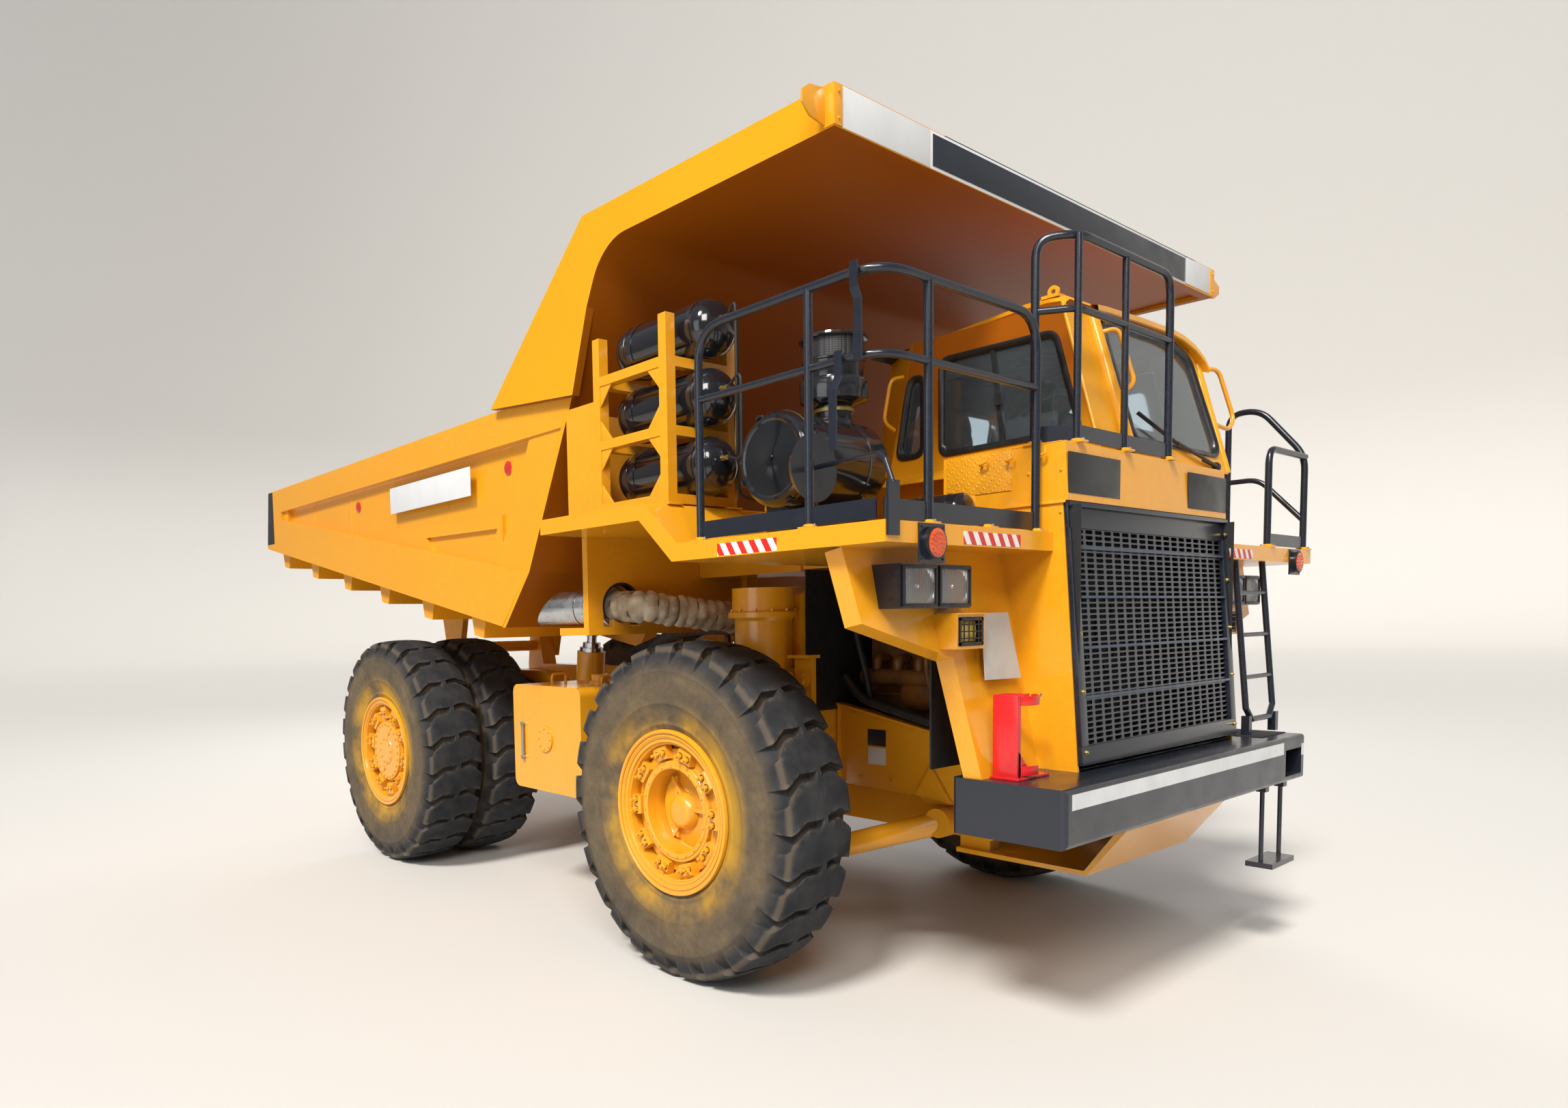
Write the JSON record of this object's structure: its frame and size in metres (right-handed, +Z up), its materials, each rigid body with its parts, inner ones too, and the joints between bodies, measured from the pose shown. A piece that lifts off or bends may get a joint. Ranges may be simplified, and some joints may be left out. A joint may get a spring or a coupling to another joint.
{
  "type": "rigid mining dump truck",
  "caption": "Rigid-frame mining dump truck with a tipping bed and canopy, hoist cylinders, steered front wheels, twin rear wheels and a cab beside the radiator housing.",
  "frame": {"origin": "on the ground, under the middle of the overall box", "axes": "+X towards the front of the truck, +Y to its left, +Z up"},
  "size_m": [8.4, 4.2, 4.245],
  "materials": {
    "paint": "gloss",
    "black": "satin",
    "tyre": "matt",
    "casting": "painted",
    "chrome": "polished",
    "outlet": "brushed",
    "wrap": "woven",
    "glass": "clear",
    "seat": "woven",
    "plastic": "matt"
  },
  "bodies": {
    "chassis": {"suspension_struts": "paint", "lower_arms": "paint", "frame": "paint", "strut_arch": "paint", "rear_axle": "paint", "engine": "casting", "gearbox": "casting", "radiator": "black", "bumper": "black", "skid_guard": "paint", "access_steps": "black", "grille": "black", "nose": "paint", "fender_panels": "paint", "headlamps": "black", "fog_lamps": "paint", "direction_lamps": "black", "deck_right": "paint", "deck_left": "paint", "handrail_right": "black", "handrail_front": "black", "handrail_left": "black", "air_cleaner": "black", "round_mirror": "black", "tank_rack": "paint", "air_tanks": "black", "exhaust_support": "paint", "exhaust_pipe": "wrap", "muffler": "outlet", "side_tanks": "paint", "cab_shell": "paint", "cab_glass": "glass", "driver_seat": "seat", "steering_console": "plastic"},
    "dump_bed": {"bed_floor": "paint", "bed_side_right": "paint", "bed_side_left": "paint", "bed_front": "paint"},
    "tie_rod": {"tie_rod": "paint"},
    "cab_door": {"cab_door": "paint", "door_glass": "glass"},
    "hoist_barrel_right": {"hoist_barrel_right": "paint"},
    "hoist_stage_right": {"hoist_stage_right": "chrome"},
    "hoist_rod_right": {"hoist_rod_right": "chrome"},
    "knuckle_right": {"knuckle_right": "paint"},
    "wheel_front_right": {"tyre_front_right": "tyre", "rim_front_right": "paint"},
    "wheels_rear_right": {"tyres_rear_right": "tyre", "rim_rear_right": "paint"},
    "hoist_barrel_left": {"hoist_barrel_left": "paint"},
    "hoist_stage_left": {"hoist_stage_left": "chrome"},
    "hoist_rod_left": {"hoist_rod_left": "chrome"},
    "knuckle_left": {"knuckle_left": "paint"},
    "wheel_front_left": {"tyre_front_left": "tyre", "rim_front_left": "paint"},
    "wheels_rear_left": {"tyres_rear_left": "tyre", "rim_rear_left": "paint"}
  },
  "joints": [
    {"name": "dump_hinge", "type": "hinge", "parent": "chassis", "child": "dump_bed", "pos_m": [-2.57, 0, 1.75], "axis": [0, -1, 0], "range_deg": [0, 48]},
    {"name": "hoist_swing_right", "type": "hinge", "parent": "chassis", "child": "hoist_barrel_right", "pos_m": [-0.2, -0.68, 0.6], "axis": [0, -1, 0], "range_deg": [-0.5, 21.32]},
    {"name": "hoist_stage_right", "type": "slide", "parent": "hoist_barrel_right", "child": "hoist_stage_right", "axis": [0.1035, 0, 0.9946], "range_m": [-0.0005, 0.95177]},
    {"name": "hoist_rod_right", "type": "slide", "parent": "hoist_stage_right", "child": "hoist_rod_right", "axis": [0.1035, 0, 0.9946], "range_m": [-0.0005, 0.95177]},
    {"name": "hoist_swing_left", "type": "hinge", "parent": "chassis", "child": "hoist_barrel_left", "pos_m": [-0.2, 0.68, 0.6], "axis": [0, -1, 0], "range_deg": [-0.5, 21.32]},
    {"name": "hoist_stage_left", "type": "slide", "parent": "hoist_barrel_left", "child": "hoist_stage_left", "axis": [0.1035, 0, 0.9946], "range_m": [-0.0005, 0.95177]},
    {"name": "hoist_rod_left", "type": "slide", "parent": "hoist_stage_left", "child": "hoist_rod_left", "axis": [0.1035, 0, 0.9946], "range_m": [-0.0005, 0.95177]},
    {"name": "steer_right", "type": "hinge", "parent": "chassis", "child": "knuckle_right", "pos_m": [2.18, -1.05, 0.92928], "axis": [0, 0, 1], "range_deg": [-38, 38]},
    {"name": "steer_left", "type": "hinge", "parent": "chassis", "child": "knuckle_left", "pos_m": [2.18, 1.05, 0.92928], "axis": [0, 0, 1], "range_deg": [-38, 38]},
    {"name": "tie_rod_slide", "type": "slide", "parent": "chassis", "child": "tie_rod", "axis": [0, 1, 0], "range_m": [-0.1421, 0.1421]},
    {"name": "front_wheel_right", "type": "hinge", "parent": "knuckle_right", "child": "wheel_front_right", "pos_m": [2.18, -1.575, 0.92928], "axis": [0, 1, 0], "continuous": true},
    {"name": "front_wheel_left", "type": "hinge", "parent": "knuckle_left", "child": "wheel_front_left", "pos_m": [2.18, 1.575, 0.92928], "axis": [0, 1, 0], "continuous": true},
    {"name": "rear_wheels_right", "type": "hinge", "parent": "chassis", "child": "wheels_rear_right", "pos_m": [-1.57, -1.295, 0.92928], "axis": [0, 1, 0], "continuous": true},
    {"name": "rear_wheels_left", "type": "hinge", "parent": "chassis", "child": "wheels_rear_left", "pos_m": [-1.57, 1.295, 0.92928], "axis": [0, 1, 0], "continuous": true},
    {"name": "cab_door_hinge", "type": "hinge", "parent": "chassis", "child": "cab_door", "pos_m": [3.582, 1.194, 2.75], "axis": [0, 0, -1], "range_deg": [0, 80]}
  ],
  "couplings": [
    {"joint": "hoist_swing_right", "follows": "dump_hinge", "ratio": 0.43364},
    {"joint": "hoist_stage_right", "follows": "dump_hinge", "m_per_rad": 1.1355},
    {"joint": "hoist_rod_right", "follows": "dump_hinge", "m_per_rad": 1.1355},
    {"joint": "hoist_swing_left", "follows": "dump_hinge", "ratio": 0.43364},
    {"joint": "hoist_stage_left", "follows": "dump_hinge", "m_per_rad": 1.1355},
    {"joint": "hoist_rod_left", "follows": "dump_hinge", "m_per_rad": 1.1355},
    {"joint": "steer_left", "follows": "steer_right", "ratio": 1},
    {"joint": "tie_rod_slide", "follows": "steer_right", "m_per_rad": -0.21351}
  ]
}
